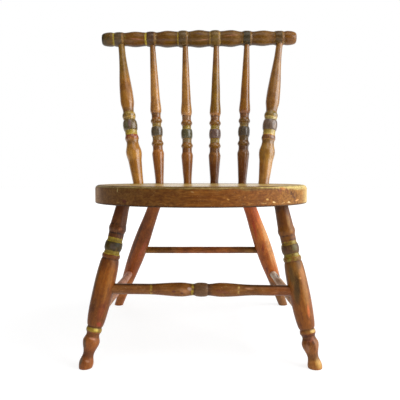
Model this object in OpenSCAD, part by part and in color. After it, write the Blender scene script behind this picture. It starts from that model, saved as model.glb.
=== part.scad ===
// Child's plank-seat chair with turned legs, spindles and crest rail.
// Units are millimetres, +Z is up and the chair faces -Y. Left is -X, seen from the front.
// Every stick is a round turning whose ends enter blind round sockets.

/* [Seat] */
// Diameter of the round plank seat
seat_d = 340; // [260:1:460]
// Thickness of the plank
seat_t = 28; // [24:0.5:45]
// Height of the seat's top face at its middle
seat_h = 258; // [200:1:340]
// Backward slope of the seat in degrees
seat_slope = 3.2; // [0:0.1:6]
// Radius of the top arris
seat_top_r = 6.5; // [1:0.5:8]
// Radius of the bottom arris
seat_low_r = 1.5; // [0.5:0.5:5]

/* [Front legs] */
// Angle of the front leg sockets from the front of the seat in degrees
front_leg_angle = 56; // [45:1:65]
// Distance of the front leg sockets from the seat's rim
front_leg_inset = 27.4; // [20:0.2:50]
// Outward splay of a front foot
front_splay_out = 47.5; // [0:0.5:80]
// Forward splay of a front foot
front_splay_fwd = 41.5; // [0:0.5:80]
// How much nearer the middle the left front socket was bored
left_front_slip = 2.2; // [0:0.2:4]
// Extra splay that brings the left front foot out again
left_front_extra = 5.2; // [0:0.2:8]
// Diameter of a front leg where it enters the seat
front_top_d = 20; // [14:0.5:28]
// Greatest diameter of a front leg's long swell
front_swell_d = 29.8; // [22:0.2:40]
// Diameter of a front leg's dark bead
front_bead_d = 25.8; // [20:0.2:34]
// Diameter of a front leg's ankle vase
ankle_d = 24.2; // [16:0.2:30]
// Diameter of the ball that a front leg stands on
foot_ball_d = 20.6; // [15:0.2:28]
// Height lost by wear under the right front foot
foot_wear = 4; // [0:0.5:5]

/* [Rear legs] */
// Angle of the rear leg sockets from the back of the seat in degrees
rear_leg_angle = 38; // [34:1:44]
// Distance of the rear leg sockets from the seat's rim
rear_leg_inset = 33; // [30:0.5:60]
// Outward splay of a rear foot
rear_splay_out = 82.5; // [20:0.5:110]
// Backward splay of a rear foot
rear_splay_back = 79.5; // [20:0.5:110]
// How much nearer the middle the left rear socket was bored
left_rear_slip = 3.6; // [0:0.2:6]
// Diameter of a rear leg where it enters the seat
rear_top_d = 23; // [16:0.5:28]
// Greatest diameter of a rear leg's swell
rear_swell_d = 30.4; // [24:0.2:40]
// Diameter of a rear foot
rear_foot_d = 16.5; // [12:0.5:24]

/* [Stretchers] */
// Height of the front stretcher's axis at the middle
front_bar_h = 110.8; // [90:0.2:135]
// How much lower the front stretcher's right end sits
front_bar_drop = 3; // [0:0.5:6]
// Diameter of the front stretcher's ends
front_bar_end_d = 15.6; // [10:0.2:18]
// Diameter of the front stretcher's two swells
front_bar_swell_d = 20.6; // [16:0.2:26]
// Diameter of the front stretcher's middle bead
front_bar_bead_d = 20.8; // [16:0.2:26]
// Height of the rear stretcher's axis
rear_bar_h = 121; // [90:0.5:150]
// Diameter of the rear stretcher
rear_bar_d = 12.8; // [9:0.2:16]
// Height of the side stretchers' axes
side_bar_h = 72.8; // [60:0.2:82]
// Diameter of a side stretcher's ends
side_bar_end_d = 12.4; // [9:0.2:15]
// Diameter of a side stretcher's middle
side_bar_d = 14.6; // [10:0.2:20]

/* [Back] */
// Distance of the spindle sockets from the seat's rim
spindle_inset = 19; // [15:0.5:30]
// Angle of the inner spindles from the back of the seat in degrees
inner_angle = 9.7; // [6:0.1:14]
// Angle of the middle spindles from the back of the seat in degrees
middle_angle = 30.9; // [26:0.1:36]
// Angle of the outer posts from the back of the seat in degrees
post_angle = 49.1; // [46:0.1:58]
// How much higher the middle spindles' turnings sit than the inner ones'
middle_lift = 4; // [0:0.5:8]
// Diameter of a spindle at the seat
spindle_foot_d = 15.6; // [11:0.2:20]
// Diameter of a spindle's shoulder and rings
spindle_ring_d = 23; // [16:0.2:26]
// Diameter of a spindle at the rail
spindle_top_d = 10.6; // [8:0.2:14]
// Diameter of an outer post at the seat
post_foot_d = 19.4; // [13:0.2:22]
// Greatest diameter of an outer post
post_vase_d = 29.2; // [20:0.2:34]
// Diameter of an outer post at the rail
post_top_d = 12.8; // [8:0.2:14]

/* [Crest rail] */
// Height of the rail's axis at its middle
rail_h = 524.4; // [440:0.2:640]
// Distance of the rail's axis behind the seat's middle
rail_back = 176; // [140:1:210]
// Length of the rail
rail_l = 370; // [330:1:440]
// Distance between neighbouring beads
bead_pitch = 61; // [50:0.5:68]
// Greatest diameter of the middle barrel
rail_mid_d = 32.6; // [26:0.2:40]
// Greatest diameter of the end knobs
rail_knob_d = 26.6; // [22:0.2:34]
// How far the racked back leans to the left
back_rack = 3.4; // [0:0.2:6]
// Rise of the rail towards the right in degrees
rail_rise = 0.5; // [0:0.1:1]

/* [Joinery] */
// Depth of the leg sockets along the leg
leg_socket = 17; // [10:0.5:19]
// Depth of the spindle sockets along the spindle
spindle_socket = 15; // [8:0.5:18]
// Gap all round a tenon in its socket
fit_gap = 0.05; // [0.02:0.01:0.2]

/* [Hidden] */
$fn = 48;

LEFT = -1;
RIGHT = 1;

// How a turning runs on from one station to the next
LINE = 0;  // straight
EASE = 1;  // level at both ends, like a vase or a long swell
RISE = 2;  // first half of a bead
FALL = 3;  // second half of a bead

seat_r = seat_d / 2;

// The origin is on the floor, midway between the seat's front edge and the back of the rear
// feet, and midway between the ends of the rail
front_edge_y = on_seat(0, -seat_r, seat_t).y;
back_edge_y = rear_foot(RIGHT).y + rear_foot_d / 2;
box_shift = [back_rack, -(front_edge_y + back_edge_y) / 2, 0];

// Wood left between a stick's end and the axis of the leg or rail that it enters
core = 3;
// Clear length between a piece and the shaped part of a stick that enters it
collar_spare = 1;
// Distance from the rail's axis at which the plain top of a stick of the back starts
rail_reach = rail_mid_d / 2 + 2;
// Length of a socket's cutter, past the surface of any piece
socket_run = 40;

// ---- Points of the frame -------------------------------------------------------------

// A point of the seat's top plane, pushed down by a depth square to the plane
function on_seat(x, y, depth) = [
    x,
    y * cos(seat_slope) - depth * sin(seat_slope),
    seat_h - y * sin(seat_slope) - depth * cos(seat_slope)
];

// A value that only the left side has
function left_only(side, value) = side == LEFT ? value : 0;

function front_top(side) = on_seat(
    side * (seat_r - front_leg_inset) * sin(front_leg_angle) + left_only(side, left_front_slip),
    -(seat_r - front_leg_inset) * cos(front_leg_angle), seat_t);
function rear_top(side) = on_seat(
    side * (seat_r - rear_leg_inset) * sin(rear_leg_angle) + left_only(side, left_rear_slip),
    (seat_r - rear_leg_inset) * cos(rear_leg_angle), seat_t);
function front_foot(side) = [
    front_top(side).x + side * front_splay_out - left_only(side, left_front_extra),
    front_top(side).y - front_splay_fwd,
    0
];
function rear_foot(side) = [
    rear_top(side).x + side * rear_splay_out - left_only(side, left_rear_slip),
    rear_top(side).y + rear_splay_back,
    0
];

// The point of a leg's axis at a height
function at_height(foot, top, h) = foot + (top - foot) * h / top.z;
function on_front_leg(side, h) = at_height(front_foot(side), front_top(side), h);
function on_rear_leg(side, h) = at_height(rear_foot(side), rear_top(side), h);

// The point of the rail's axis at a distance from its middle
function on_rail(x) = [x * cos(rail_rise) - back_rack, rail_back, rail_h + x * sin(rail_rise)];

// Sockets of the back, counted from the left post to the right post. Those in the rail were
// bored by eye, a little to the right of their beads' middles.
last_stick = 5;
bore_slip = [2.6, 1.6, 3.6, 2.4, 0, 2.6];
back_angles = [-post_angle, -middle_angle, -inner_angle, inner_angle, middle_angle, post_angle];
function back_base(i) = on_seat(
    (seat_r - spindle_inset) * sin(back_angles[i]),
    (seat_r - spindle_inset) * cos(back_angles[i]), 0);
function back_top(i) = on_rail((i - last_stick / 2) * bead_pitch + bore_slip[i]);
function is_post(i) = i == 0 || i == last_stick;
function turning_lift(i) = i == 1 || i == last_stick - 1 ? middle_lift : 0;

// Foot and rail diameters of the back's turnings
function back_foot_d(i) = is_post(i) ? post_foot_d : spindle_foot_d;
function back_top_d(i) = is_post(i) ? post_top_d : spindle_top_d;

// The point past b, as seen from a, by a distance
function beyond(a, b, by) = b + (b - a) * by / norm(b - a);

// Plain length that a stick of diameter d needs outside the seat, where it leans against
// the seat's upright, so that the end of its shaped part stays clear of the seat
seat_upright = [0, sin(seat_slope), cos(seat_slope)];
function collar(a, b, d) =
    d / 2 * tan(acos((b - a) * seat_upright / norm(b - a))) + collar_spare;

// ---- Turning -------------------------------------------------------------------------

// Share of the way along and across between two stations
function along(kind, u) = kind == RISE ? 1 - cos(90 * u) : kind == FALL ? sin(90 * u) : u;
function across(kind, u) =
    kind == RISE ? sin(90 * u) :
    kind == FALL ? 1 - cos(90 * u) :
    kind == EASE ? (1 - cos(180 * u)) / 2 : u;

// Facets between two stations: one on a straight, more on a longer curve
function steps(kind, run) = kind == LINE ? 1 : kind == EASE ? max(4, ceil(run / 7)) : 4;

// Outline [radius, height] through stations [height, diameter, kind of run to the next]
function outline(st) = [
    for (i = [0 : len(st) - 2])
        let (run = st[i + 1][0] - st[i][0], n = steps(st[i][2], run))
        for (j = [0 : n - 1])
            [
                (st[i][1] + (st[i + 1][1] - st[i][1]) * across(st[i][2], j / n)) / 2,
                st[i][0] + run * along(st[i][2], j / n)
            ],
    [st[len(st) - 1][1] / 2, st[len(st) - 1][0]]
];

// Stations of a turning that is the same both ways from its middle
function flip(kind) = kind == RISE ? FALL : kind == FALL ? RISE : kind;
function both_ways(half) = [
    for (i = [len(half) - 1 : -1 : 1]) [-half[i][0], half[i][1], flip(half[i - 1][2])],
    each half
];

// The seam of a turning lies off both planes of a splayed leg's lean, clear of the points
// where the floor's cut is steepest or crosses a station
seam_turn = 45;
module turned(st) {
    rotate([0, 0, seam_turn])
        rotate_extrude()
            polygon([[0, st[0][0]], each outline(st), [0, st[len(st) - 1][0]]]);
}

// Stands its children on point a with their +Z axis towards point b
module aim(a, b) {
    way = b - a;
    translate(a)
        rotate([0, acos(way.z / norm(way)), atan2(way.y, way.x)])
            children();
}

// Round socket for a stick of diameter d, along the line from its blind end towards a point
// outside, and long enough to break through the surface
module socket(blind_end, outside, d) {
    aim(blind_end, outside)
        cylinder(d = d + 2 * fit_gap, h = socket_run);
}

// ---- Seat ----------------------------------------------------------------------------

// Rounded plank, with its top face on z = 0 before it is sloped and lifted
module plank() {
    corner_x = seat_r - seat_top_r;
    corner_low_x = seat_r - seat_low_r;
    rotate_extrude($fn = 96)
        polygon([
            [0, 0],
            for (a = [90 : -18 : 0]) [corner_x + seat_top_r * cos(a), seat_top_r * (sin(a) - 1)],
            for (a = [0 : -30 : -90])
                [corner_low_x + seat_low_r * cos(a), seat_low_r * (1 + sin(a)) - seat_t],
            [0, -seat_t]
        ]);
}

module seat() {
    color("peru")
    translate(box_shift)
    difference() {
        translate([0, 0, seat_h])
            rotate([-seat_slope, 0, 0])
                plank();
        for (side = [LEFT, RIGHT]) {
            socket(beyond(front_foot(side), front_top(side), leg_socket), front_foot(side), front_top_d);
            socket(beyond(rear_foot(side), rear_top(side), leg_socket), rear_foot(side), rear_top_d);
        }
        for (i = [0 : last_stick])
            socket(beyond(back_top(i), back_base(i), spindle_socket), back_top(i), back_foot_d(i));
    }
}

// ---- Legs ----------------------------------------------------------------------------

// Front leg: foot ball, ankle vase and ring, long swell, then rings and a dark bead
// under the seat. The lower turnings are set out from the floor and the upper ones from
// the seat, and the swell fills what is left. A worn foot lowers all of them.
function front_stations(l, worn, neck) = [
    for (s = [
        [-10, foot_ball_d - 6, EASE],
        [7.5, foot_ball_d, EASE],
        [20.5, 15.4, EASE],
        [39.8, ankle_d, EASE],
        [49.5, 18.6, LINE],
        [52.6, 19.4, RISE],
        [56.4, 22.6, FALL],
        [60.2, 20, LINE],
        [62, 21, RISE],
        [l / 2 - 2, front_swell_d, FALL],
        [l - 82.6, 24.4, LINE],
        [l - 81.4, 23.8, RISE],
        [l - 77.6, 26.4, FALL],
        [l - 74.2, 22.6, EASE],
        [l - 70, 22, RISE],
        [l - 63, front_bead_d, FALL],
        [l - 55.4, 21.8, EASE],
        [l - 48.6, 22.4, EASE],
        [l - 44, 22.4, EASE],
        [l - 36.8, 25.4, EASE],
        [l - 27.6, 22.8, LINE]
    ]) [s[0] - worn, s[1], s[2]],
    [l - neck, front_top_d, LINE],
    [l + leg_socket, front_top_d, LINE]
];

// Rear leg: one long plain swell
function rear_stations(l, neck) = [
    [-12, rear_foot_d, EASE],
    [l * 0.56, rear_swell_d, EASE],
    [l - neck, rear_top_d, LINE],
    [l + leg_socket, rear_top_d, LINE]
];

// Everything below the floor is cut off, which leaves a flat foot
module on_floor() {
    cut = 3 * seat_d;
    difference() {
        children();
        translate([-cut / 2, -cut / 2, -cut])
            cube(cut);
    }
}

module front_leg(side, worn) {
    foot = front_foot(side);
    top = front_top(side);
    neck = collar(foot, top, front_top_d);
    color(side == LEFT ? "sienna" : "peru")
    translate(box_shift)
    difference() {
        on_floor()
            aim(foot, top)
                turned(front_stations(norm(top - foot), worn, neck));
        socket(bar_end(front_bar(side), front_bar(-side)), front_bar(-side), front_bar_end_d);
        socket(bar_end(side_bar_front(side), side_bar_rear(side)), side_bar_rear(side), side_bar_end_d);
    }
}

module rear_leg(side) {
    foot = rear_foot(side);
    top = rear_top(side);
    neck = collar(foot, top, rear_top_d);
    color(side == LEFT ? "brown" : "chocolate")
    translate(box_shift)
    difference() {
        on_floor()
            aim(foot, top)
                turned(rear_stations(norm(top - foot), neck));
        socket(bar_end(rear_bar(side), rear_bar(-side)), rear_bar(-side), rear_bar_d);
        socket(bar_end(side_bar_rear(side), side_bar_front(side)), side_bar_front(side), side_bar_end_d);
    }
}

module front_leg_left() { front_leg(LEFT, 0); }
module front_leg_right() { front_leg(RIGHT, foot_wear); }
module rear_leg_left() { rear_leg(LEFT); }
module rear_leg_right() { rear_leg(RIGHT); }

// ---- Stretchers ----------------------------------------------------------------------

// Where each stretcher's axis meets the axes of its legs
function front_bar(side) = on_front_leg(side, front_bar_h - side * front_bar_drop / 2);
function rear_bar(side) = on_rear_leg(side, rear_bar_h);
function side_bar_front(side) = on_front_leg(side, side_bar_h);
function side_bar_rear(side) = on_rear_leg(side, side_bar_h);

// The end of a stretcher from a to b, inside the leg at a
function bar_end(a, b) = beyond(b, a, -core);

// Front stretcher: a bead in the middle between two swells that taper to the ends
module front_stretcher() {
    a = front_bar(LEFT);
    b = front_bar(RIGHT);
    l = norm(b - a);
    color("sienna")
    translate(box_shift)
    aim(a, b)
        translate([0, 0, l / 2])
            turned(both_ways([
                [0, front_bar_bead_d, FALL],
                [9.5, front_bar_bead_d - 3.8, EASE],
                [29, front_bar_swell_d, EASE],
                [80, front_bar_end_d, LINE],
                [l / 2 - core, front_bar_end_d, LINE]
            ]));
}

// Rear stretcher: a plain round bar
module rear_stretcher() {
    a = rear_bar(LEFT);
    b = rear_bar(RIGHT);
    color("sienna")
    translate(box_shift)
    aim(bar_end(a, b), b)
        cylinder(d = rear_bar_d, h = norm(b - a) - 2 * core);
}

// Side stretcher: a bar with a faint swell in the middle
module side_stretcher(side) {
    a = side_bar_front(side);
    b = side_bar_rear(side);
    l = norm(b - a);
    // The swell starts a little clear of the thickest leg
    plain = front_swell_d / 2 + 6;
    color(side == LEFT ? "rosybrown" : "tan")
    translate(box_shift)
    aim(a, b)
        turned([
            [core, side_bar_end_d, LINE],
            [plain, side_bar_end_d, EASE],
            [l / 2, side_bar_d, EASE],
            [l - plain, side_bar_end_d, LINE],
            [l - core, side_bar_end_d, LINE]
        ]);
}

module side_stretcher_left() { side_stretcher(LEFT); }
module side_stretcher_right() { side_stretcher(RIGHT); }

// ---- Back ----------------------------------------------------------------------------

// Inner spindle: tapered foot and shoulder, two rings about a dark bead, then a long club
// that tapers to the rail. The rings are set out from the seat.
function spindle_stations(l, neck, lift) = [
    [-spindle_socket, spindle_foot_d, LINE],
    [neck, spindle_foot_d, LINE],
    for (s = [
        [52, spindle_ring_d - 0.2, EASE],
        [61, 18.8, LINE],
        [65.5, 18.8, EASE],
        [71, spindle_ring_d, EASE],
        [78.5, 18, LINE],
        [84, 18, RISE],
        [94, spindle_ring_d - 0.6, FALL],
        [104, 17.2, LINE],
        [108, 17.2, EASE],
        [114.5, spindle_ring_d - 0.8, EASE],
        [122, 17.2, LINE],
        [126, 17.4, EASE],
        [134.5, 21.4, EASE],
        [162, 17.8, LINE]
    ]) [s[0] + lift, s[1], s[2]],
    [l - rail_reach, spindle_top_d, LINE],
    [l - core, spindle_top_d, LINE]
];

// Outer post: the same turning, stouter, with a vase at its foot
function post_stations(l, neck) = [
    [-spindle_socket, post_foot_d, LINE],
    [neck, post_foot_d, LINE],
    [38, 24, EASE],
    [58.5, post_vase_d, EASE],
    [79, 22.2, EASE],
    [86, 25.8, EASE],
    [94.5, 22.8, LINE],
    [101, 22.8, RISE],
    [111, 27.2, FALL],
    [121, 21.8, EASE],
    [130.5, 25.2, EASE],
    [139, 20.4, EASE],
    [158, 25.6, EASE],
    [l - rail_reach, post_top_d, LINE],
    [l - core, post_top_d, LINE]
];

module back_stick(i) {
    base = back_base(i);
    top = back_top(i);
    l = norm(top - base);
    neck = collar(base, top, back_foot_d(i));
    color("chocolate")
    translate(box_shift)
    aim(base, top)
        turned(is_post(i) ? post_stations(l, neck) : spindle_stations(l, neck, turning_lift(i)));
}

module back_post_left() { back_stick(0); }
module spindle_1() { back_stick(1); }
module spindle_2() { back_stick(2); }
module spindle_3() { back_stick(3); }
module spindle_4() { back_stick(4); }
module back_post_right() { back_stick(5); }

// Diameters that the beads, grooves and barrels lack against the middle barrel, counted
// from the ends of the rail to its middle
bead_less = [5.2, 4, 0.6];
groove_less = [8.2, 7.4, 4.8];
barrel_less = [3.9, 1.4, 0];
// Half the length of a rail bead
bead_half = 8.8;
// Distance from the rail's end to the widest place of its knob
knob_in = 17;
// How much less than the knob's diameter its flat end measures
knob_less = 10;

// Stations from the middle of the rail: barrels between beads, and a round end knob
rail_stations = [
    [0, rail_mid_d, EASE],
    for (k = [2 : -1 : 0])
        let (at = (last_stick / 2 - k) * bead_pitch)
        each [
            [at - bead_half, rail_mid_d - groove_less[k], RISE],
            [at, rail_mid_d - bead_less[k], FALL],
            [at + bead_half, rail_mid_d - groove_less[k], EASE],
            if (k > 0) [at + bead_pitch / 2, rail_mid_d - barrel_less[k - 1], EASE]
        ],
    [rail_l / 2 - knob_in, rail_knob_d, FALL],
    [rail_l / 2, rail_knob_d - knob_less, LINE]
];

module crest_rail() {
    color("saddlebrown")
    translate(box_shift)
    difference() {
        aim(on_rail(0), on_rail(rail_l))
            turned(both_ways(rail_stations));
        for (i = [0 : last_stick])
            socket(bar_end(back_top(i), back_base(i)), back_base(i), back_top_d(i));
    }
}

// ---- Chair ---------------------------------------------------------------------------

seat();
front_leg_left();
front_leg_right();
rear_leg_left();
rear_leg_right();
front_stretcher();
rear_stretcher();
side_stretcher_left();
side_stretcher_right();
back_post_left();
back_post_right();
spindle_1();
spindle_2();
spindle_3();
spindle_4();
crest_rail();
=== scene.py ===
import math

import bpy
import numpy as np
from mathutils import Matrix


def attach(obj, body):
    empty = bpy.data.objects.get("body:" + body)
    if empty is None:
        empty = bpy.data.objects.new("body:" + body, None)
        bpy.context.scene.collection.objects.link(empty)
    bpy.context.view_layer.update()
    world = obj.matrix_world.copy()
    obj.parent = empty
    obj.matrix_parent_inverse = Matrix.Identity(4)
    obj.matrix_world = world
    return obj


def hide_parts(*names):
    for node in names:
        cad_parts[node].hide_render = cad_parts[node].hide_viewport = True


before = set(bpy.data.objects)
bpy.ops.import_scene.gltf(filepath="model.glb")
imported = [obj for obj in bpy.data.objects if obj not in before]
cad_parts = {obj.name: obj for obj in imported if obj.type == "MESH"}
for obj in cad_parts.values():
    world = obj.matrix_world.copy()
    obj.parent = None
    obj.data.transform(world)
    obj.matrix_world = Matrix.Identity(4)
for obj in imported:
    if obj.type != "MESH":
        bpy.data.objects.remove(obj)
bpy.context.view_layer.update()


# ---- Seat ------------------------------------------------------------------------------
# One round plank of wood, sawn and rounded over by hand, sloping back a little. It is painted
# a glossy brown that has worn pale along the arris, with dents and dark scuffs at one end. Its
# colour also holds painted light: lighter and ochre to the right, a painted reflection at the
# left end and on the middle of the top, and a painted highlight on the arris near the right end.
# Lengths are in millimetres up to the moment when they become a mesh.

MM = 0.001
CREASE = math.radians(50)
LEFT, RIGHT = -1, 1

seat_r = 170.0
seat_t = 28.0
seat_h = 258.0
seat_slope = math.radians(3.2)
seat_top_r = 6.5
seat_low_r = 1.5
edge_waves = (0.35, 0.22)
board_cup = 0.18

# The whole chair is moved so that the middle of its footprint is the origin
back_rack = 3.4
rear_leg_inset = 33.0
rear_leg_angle = math.radians(38)
rear_splay_back = 79.5
rear_foot_d = 16.5


def on_seat(x, y, depth):
    """The point of the sloping seat at x, y of its own top face, pushed down square to it."""
    return np.stack(np.broadcast_arrays(
        x,
        y * math.cos(seat_slope) - depth * math.sin(seat_slope),
        seat_h - y * math.sin(seat_slope) - depth * math.cos(seat_slope)), -1)


front_edge_y = on_seat(0.0, -seat_r, seat_t)[1]
rear_socket_y = on_seat(0.0, (seat_r - rear_leg_inset) * math.cos(rear_leg_angle), seat_t)[1]
back_edge_y = rear_socket_y + rear_splay_back + rear_foot_d / 2
shift = np.array([back_rack, -(front_edge_y + back_edge_y) / 2, 0.0])


def placed(name, data):
    """Puts a mesh, a lamp or a camera into the scene, at the origin."""
    made = bpy.data.objects.new(name, data)
    bpy.context.scene.collection.objects.link(made)
    return made


def closed_mesh(name, rings, poles, **attributes):
    """A closed mesh through a grid of points [ring, place round the ring, xyz] in
    millimetres. Neighbouring rings are joined by quads, and the first and the last ring are
    closed by a fan to their pole. Faces are flipped together if the volume is negative."""
    rows, cols = rings.shape[:2]
    points = np.vstack([rings.reshape(-1, 3), poles])
    row, col = np.meshgrid(np.arange(rows - 1), np.arange(cols), indexing="ij")
    here = row * cols + col
    beside = row * cols + (col + 1) % cols
    sides = np.stack([here, beside, beside + cols, here + cols], -1).reshape(-1, 4)
    place = np.arange(cols)
    after = (place + 1) % cols
    last = (rows - 1) * cols
    fans = np.vstack([
        np.stack([after, place, np.full(cols, rows * cols)], -1),
        np.stack([last + place, last + after, np.full(cols, rows * cols + 1)], -1)])
    a, b, c, d = np.moveaxis(points[sides] - points.mean(0), 1, 0)
    if (a * (np.cross(b, c) + np.cross(c, d))).sum() < 0:
        sides = sides[:, ::-1]
        fans = fans[:, ::-1]
    mesh = bpy.data.meshes.new(name)
    mesh.from_pydata((points * MM).tolist(), [], sides.tolist() + fans.tolist())
    for key, values in attributes.items():
        kind, field = ("FLOAT", "value") if values.ndim == 1 else ("FLOAT_VECTOR", "vector")
        layer = mesh.attributes.new(key, kind, "POINT")
        layer.data.foreach_set(field, values.astype(np.float32).ravel())
    mesh.shade_smooth()
    mesh.set_sharp_from_angle(angle=CREASE)
    return placed(name, mesh)


def stands_for(piece, cad_node, material):
    """Gives a piece its finish and puts it in the place of its CAD node."""
    piece.data.materials.append(material)
    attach(piece, "root")
    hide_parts(cad_node)


def plank_outline():
    """Half section of the plank from the middle of its top to the middle of its underside:
    level top, quarter circle, upright edge, quarter circle, level underside. It gives the
    radius, the height (0 on the top face), and the distance run from the top arris."""
    flat = seat_r - seat_top_r
    turn = np.linspace(0, math.pi / 2, 13)[1:]
    low_turn = np.linspace(0, math.pi / 2, 9)
    top = flat * np.sin(np.linspace(0.02, math.pi / 2, 58))
    edge = np.linspace(-seat_top_r, seat_low_r - seat_t, 22)[1:-1]
    under = (seat_r - seat_low_r) * np.sin(np.linspace(math.pi / 2, 0.03, 34))[1:]
    radius = np.concatenate([
        top, flat + seat_top_r * np.sin(turn), np.full(edge.size, seat_r),
        seat_r - seat_low_r * (1 - np.cos(low_turn)), under])
    height = np.concatenate([
        np.zeros(top.size), seat_top_r * (np.cos(turn) - 1), edge,
        seat_low_r - seat_t - seat_low_r * np.sin(low_turn), np.full(under.size, -seat_t)])
    run = np.concatenate([[0], np.cumsum(np.hypot(np.diff(radius), np.diff(height)))])
    arris = run[top.size - 1] + seat_top_r * math.pi / 4
    return radius, height, run - arris


def plank_surface(columns=480):
    """The outline swept round, P(t, a) = (r sin a, -r cos a, z), with a = 0 at the front.
    The edge is out of round by two slow waves, the board is cupped by one from side to side,
    and each dent is a bell-shaped hollow at its own bearing and distance from the top arris."""
    radius, height, run = (values[:, None] for values in plank_outline())
    bearing = np.linspace(0, 2 * math.pi, columns, endpoint=False)[None, :]
    waves = (edge_waves[0] * np.sin(3 * bearing + 0.7)
             + edge_waves[1] * np.sin(7 * bearing + 2.1))
    share = (radius / seat_r) ** 6
    hollow = np.zeros((radius.size, columns))
    # Bearing in degrees, distance below the arris, half width, half height, depth
    dents = [
        (-71, 0, 3.2, 1.6, 0.8), (-49, 1, 2.2, 2.4, 0.7), (-33, 23, 4, 1.2, 0.6),
        (-12, 24, 3, 1.4, 0.5), (7, -1, 3.4, 1.3, 0.5), (20, 12, 2.2, 1.6, 0.5), (29, 20, 2, 1.5, 0.6),
        (44, 3, 1.4, 4.6, 0.9), (49, 9, 2.4, 3, 1.1), (54, 14, 2.2, 4, 1), (52, 21, 5, 1.5, 0.7),
        (63, 1, 6, 1.8, 0.7), (76, 23, 3, 1.6, 0.6), (118, 2, 4, 2, 0.6), (171, 1, 5, 2, 0.6),
        (-128, 3, 3.4, 2.4, 0.7), (-159, 22, 4, 1.6, 0.6)]
    for turn, below, half_width, half_height, depth in dents:
        sideways = (bearing - math.radians(turn) + math.pi) % (2 * math.pi) - math.pi
        hollow += depth * np.exp(
            -(sideways * seat_r / half_width) ** 2 - ((run - below) / half_height) ** 2)
    r = radius + share * waves - hollow
    board = board_cup * np.sin(r * np.sin(bearing) / 23 + 0.6) * (1 - share)
    x = r * np.sin(bearing)
    y = -r * np.cos(bearing)
    z = height + board - 0.4 * hollow * (run < seat_t / 2)
    rings = on_seat(x, y, -z) + shift
    poles = on_seat(np.zeros(2), np.zeros(2), np.array([0.0, seat_t])) + shift
    level = np.stack(np.broadcast_arrays(x, y, height), -1).reshape(-1, 3)
    plank = np.vstack([level, [[0, 0, 0], [0, 0, -seat_t]]])
    below = np.append(np.broadcast_to(run, hollow.shape).ravel(), [run[0, 0], run[-1, 0]])
    return closed_mesh("plank_seat", rings, poles, plank=plank, below=below,
                       dented=np.append(hollow.ravel(), [0, 0]))


def tint(red, green, blue):
    """A colour as a paint chart gives it, 0 to 255, as the shader's linear values."""
    return tuple(((c / 255 + 0.055) / 1.055) ** 2.4 for c in (red, green, blue)) + (1.0,)


def add(tree, kind, ins=None, **settings):
    """Adds a shader node with its settings, and fills each socket named in ins: a node or a
    socket is linked, and anything else is set."""
    made = tree.nodes.new(kind)
    for key, value in settings.items():
        setattr(made, key, value)
    for key, value in (ins or {}).items():
        if isinstance(value, bpy.types.Node):
            value = value.outputs[0]
        if isinstance(value, bpy.types.NodeSocket):
            tree.links.new(value, made.inputs[key])
        else:
            made.inputs[key].default_value = value
    return made


def sums(tree, operation, *values, clamp=False):
    """The result of one arithmetic step on values or sockets."""
    return add(tree, "ShaderNodeMath", dict(enumerate(values)),
               operation=operation, use_clamp=clamp).outputs[0]


def times(tree, one, other):
    """The product of two values or sockets."""
    return sums(tree, "MULTIPLY", one, other)


def blend(tree, share, under, over, kind="MIX"):
    """Lays one colour over another by a share."""
    return add(tree, "ShaderNodeMix", {0: share, 6: under, 7: over},
               data_type="RGBA", blend_type=kind, clamp_factor=True).outputs[2]


def ramp(tree, value, start, end, low=0.0, high=1.0):
    """A smooth rise from low to high while value goes from start to end."""
    return add(tree, "ShaderNodeMapRange",
               {0: value, 1: start, 2: end, 3: low, 4: high},
               interpolation_type="SMOOTHSTEP").outputs[0]


def mottle(tree, place, scale, detail=3.0, rough=0.55):
    """Cloudy noise, 0 to 1, with its scale per millimetre."""
    return add(tree, "ShaderNodeTexNoise",
               {"Vector": place, "Scale": scale, "Detail": detail, "Roughness": rough}).outputs[0]


def stretched(tree, place, size, turn=(0, 0, 0), centre=(0, 0, 0)):
    """A place measured from a centre, in units of a size along turned axes."""
    return add(tree, "ShaderNodeMapping",
               {"Vector": place, "Location": centre, "Rotation": turn, "Scale": size},
               vector_type="TEXTURE").outputs[0]


def spot(tree, place, centre, size, turn=(0, 0, 0), soft=0.45, ragged=0.5):
    """A patch with a ragged edge: 1 inside an ellipsoid of half-axes size, 0 outside."""
    away = add(tree, "ShaderNodeVectorMath",
               {0: stretched(tree, place, size, turn, centre)}, operation="LENGTH")
    frayed = sums(tree, "MULTIPLY_ADD", mottle(tree, place, 0.9 / min(size) ** 0.5, 2.0),
                  ragged, away.outputs["Value"])
    return ramp(tree, frayed, 1 + ragged / 2 - soft, 1 + ragged / 2 + soft, 1.0, 0.0)


def effect(name, inputs, outputs):
    """An empty shader group with named inputs and outputs, and its two end nodes."""
    tree = bpy.data.node_groups.new(name, "ShaderNodeTree")
    for direction, sockets in (("INPUT", inputs), ("OUTPUT", outputs)):
        for label, kind in sockets.items():
            tree.interface.new_socket(label, in_out=direction, socket_type="NodeSocket" + kind)
    given = tree.nodes.new("NodeGroupInput").outputs
    made = tree.nodes.new("NodeGroupOutput").inputs
    return tree, given, made


def finish_grain():
    """Wood grain showing through paint: noise drawn out twenty times along the given
    place's Z, and finer pores drawn out along it too."""
    tree, given, made = effect("Grain", {"Place": "Vector"}, {"Streaks": "Float", "Pores": "Float"})
    slow = stretched(tree, given["Place"], (1, 1, 20))
    fine = stretched(tree, given["Place"], (1, 1, 12))
    tree.links.new(mottle(tree, slow, 0.42, 4.0, 0.6), made["Streaks"])
    pores = ramp(tree, mottle(tree, fine, 2.1, 2.0, 0.5), 0.60, 0.74)
    tree.links.new(pores, made["Pores"])
    return tree


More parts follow.
